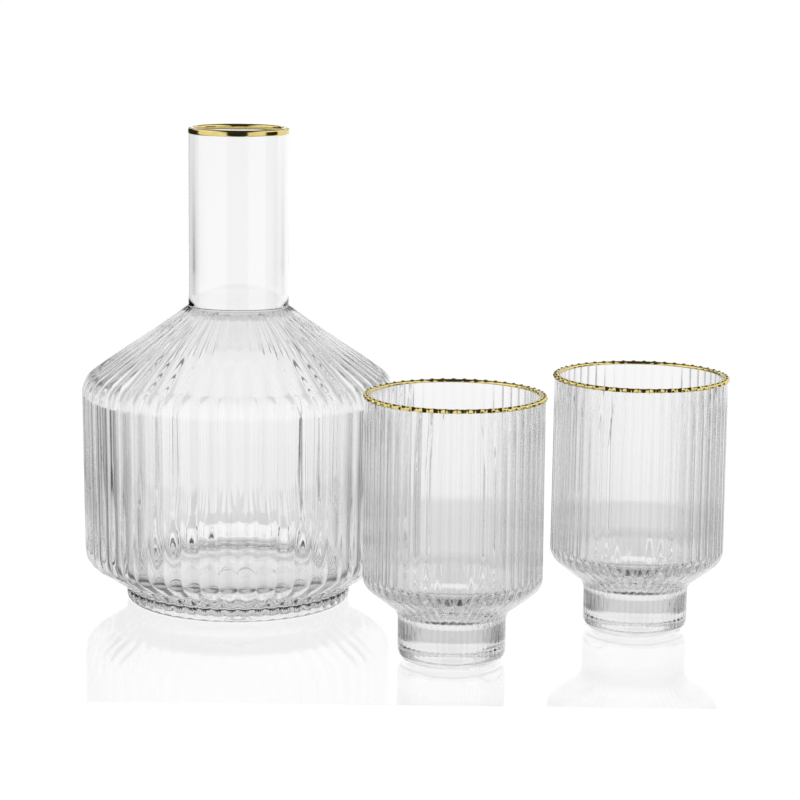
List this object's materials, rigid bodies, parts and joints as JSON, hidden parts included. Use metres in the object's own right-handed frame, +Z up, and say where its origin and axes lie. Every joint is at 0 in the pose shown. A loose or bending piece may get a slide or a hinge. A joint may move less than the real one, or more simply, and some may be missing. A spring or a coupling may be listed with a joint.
{
  "type": "carafe and tumbler set",
  "caption": "Fluted glass carafe with a straight neck, with matching footed tumblers beside it, all with gilt rims.",
  "frame": {"origin": "centre of the set's footprint, on the surface that the three feet stand on", "axes": "+Z up along the carafe's neck, +X from the carafe towards the right tumbler (the set's longest extent), +Y away from the front tumbler, so the set is seen from the -Y side"},
  "size_m": [0.3049, 0.2254, 0.229],
  "materials": {
    "clear_glass": "fire-polished clear glass",
    "gilding": "polished fired gold"
  },
  "bodies": {
    "carafe": {"carafe_glass": "clear_glass", "carafe_gilt_rim": "gilding"},
    "front_tumbler": {"front_tumbler_glass": "clear_glass", "front_tumbler_gilt_rim": "gilding"},
    "right_tumbler": {"right_tumbler_glass": "clear_glass", "right_tumbler_gilt_rim": "gilding"}
  },
  "joints": [
    {"name": "front_tumbler_lift", "type": "slide", "parent": "carafe", "child": "front_tumbler", "axis": [0, 0, 1], "range_m": [0, 0.25]},
    {"name": "right_tumbler_lift", "type": "slide", "parent": "carafe", "child": "right_tumbler", "axis": [0, 0, 1], "range_m": [0, 0.25]}
  ]
}
